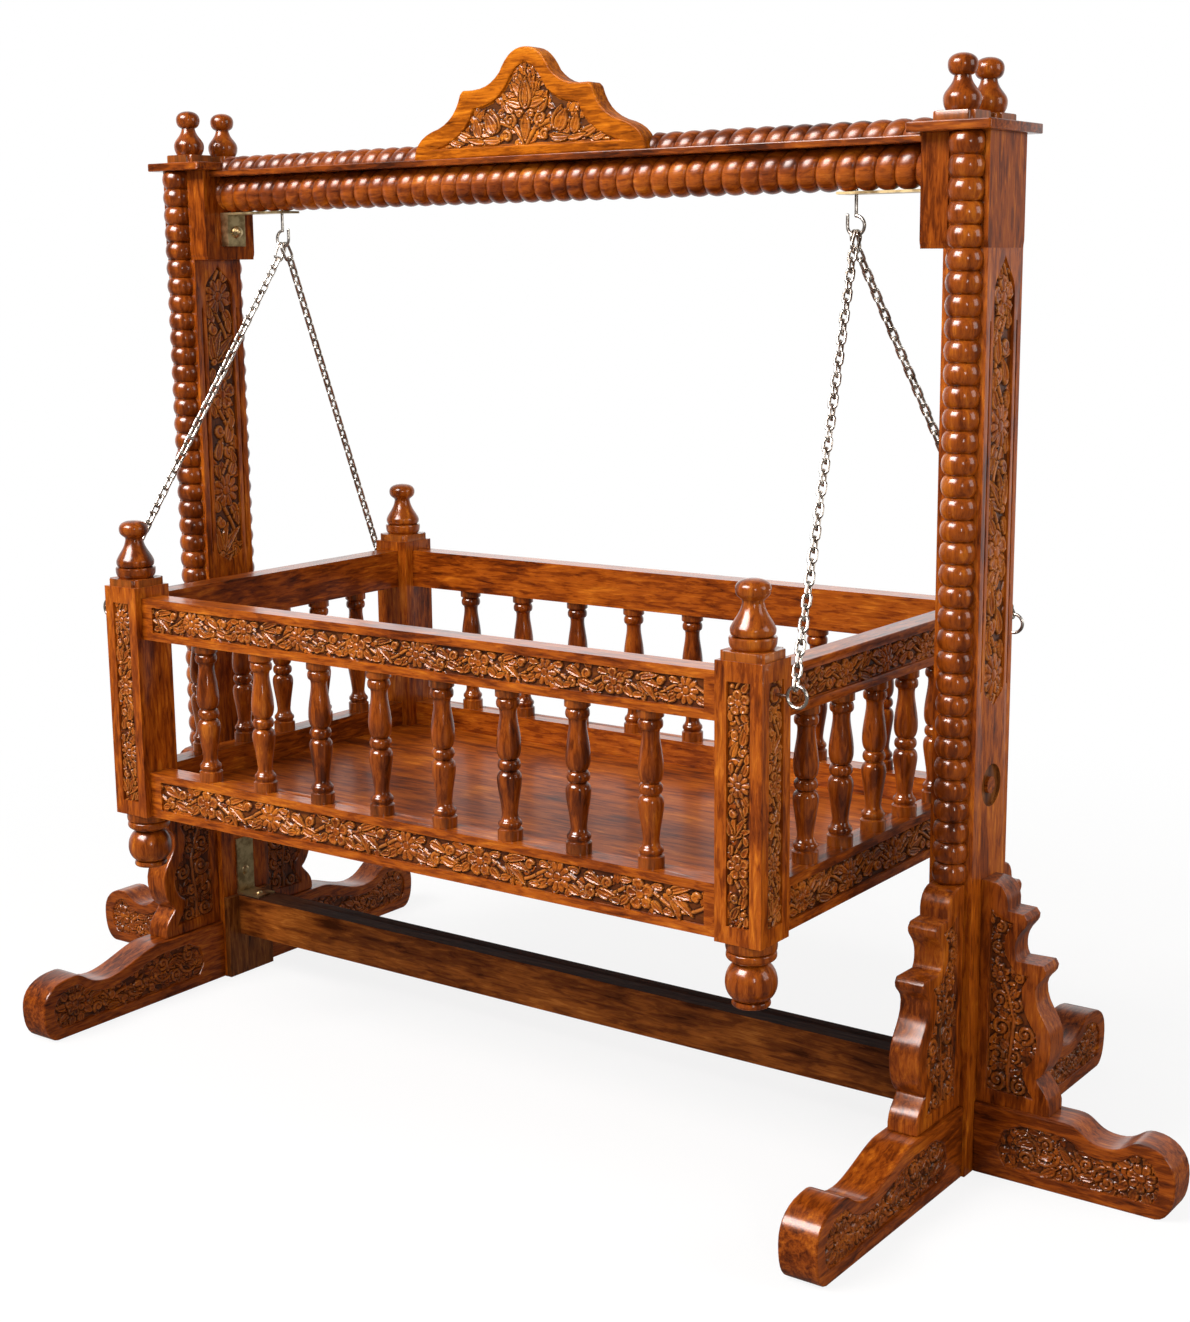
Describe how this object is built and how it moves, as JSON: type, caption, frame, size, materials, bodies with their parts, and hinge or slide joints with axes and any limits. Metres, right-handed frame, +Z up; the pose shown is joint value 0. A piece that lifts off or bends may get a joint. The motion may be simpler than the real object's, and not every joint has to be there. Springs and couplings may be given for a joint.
{
  "type": "swinging cradle on stand",
  "caption": "Carved wooden baby cradle with turned spindles, hung on chains from a rope-turned beam between two footed posts; swings front to back.",
  "frame": {"origin": "on the floor, halfway between the two posts and halfway from front to back", "axes": "+X along the cradle and the beam to the right, +Y to the back, +Z up"},
  "size_m": [1.778, 0.778, 1.331],
  "materials": {
    "wood": "gloss",
    "dark_wood": "gloss",
    "brass": "satin",
    "nickel": "polished"
  },
  "bodies": {
    "stand": {"post_left": "wood", "post_right": "wood", "head_block_left": "wood", "head_block_right": "wood", "base_block_left": "dark_wood", "base_block_right": "dark_wood", "cap_left": "dark_wood", "cap_right": "dark_wood", "foot_side_left": "wood", "foot_side_right": "wood", "bracket_side_left": "wood", "bracket_side_right": "wood", "column_front_left": "wood", "column_front_right": "wood", "column_back_left": "wood", "column_back_right": "wood", "foot_front_left": "wood", "foot_front_right": "wood", "foot_back_left": "wood", "foot_back_right": "wood", "bracket_front_left": "wood", "bracket_front_right": "wood", "bracket_back_left": "wood", "bracket_back_right": "wood", "stand_finials": "dark_wood", "post_pegs": "dark_wood", "beam_rope": "wood", "beam_board": "dark_wood", "upper_rope": "wood", "crest": "wood", "stretcher": "wood", "hanger_brackets": "brass", "stretcher_brackets": "brass", "bracket_bolts": "brass", "hooks": "brass"},
    "hangers": {"top_links": "nickel"},
    "left_chains": {"chain_front_left": "nickel", "chain_back_left": "nickel"},
    "right_chains": {"chain_front_right": "nickel", "chain_back_right": "nickel"},
    "cradle": {"corner_post_front_left": "wood", "corner_post_front_right": "wood", "corner_post_back_left": "wood", "corner_post_back_right": "wood", "top_rail_front": "wood", "top_rail_back": "wood", "top_rail_left": "wood", "top_rail_right": "wood", "bottom_rail_front": "wood", "bottom_rail_back": "wood", "bottom_rail_left": "wood", "bottom_rail_right": "wood", "spindles_front": "wood", "spindles_back": "wood", "spindles_ends": "wood", "cradle_floor": "dark_wood", "cradle_finials": "dark_wood", "bun_feet": "dark_wood", "eye_screws": "nickel"}
  },
  "joints": [
    {"name": "swing", "type": "hinge", "parent": "stand", "child": "hangers", "pos_m": [0, 0, 1.0925], "axis": [1, 0, 0], "range_deg": [-20, 20]},
    {"name": "sway", "type": "hinge", "parent": "hangers", "child": "cradle", "pos_m": [0, 0, 3.53205], "axis": [0, 1, 0], "range_deg": [-0.53, 0.53]},
    {"name": "left_chain_sway", "type": "hinge", "parent": "hangers", "child": "left_chains", "pos_m": [-0.456, 0, 1.07423], "axis": [0, 1, 0], "range_deg": [-3.5, 3.5]},
    {"name": "right_chain_sway", "type": "hinge", "parent": "hangers", "child": "right_chains", "pos_m": [0.456, 0, 1.07423], "axis": [0, 1, 0], "range_deg": [-3.5, 3.5]}
  ],
  "couplings": [
    {"joint": "left_chain_sway", "follows": "sway", "ratio": 6.4085},
    {"joint": "right_chain_sway", "follows": "sway", "ratio": 6.4085}
  ]
}
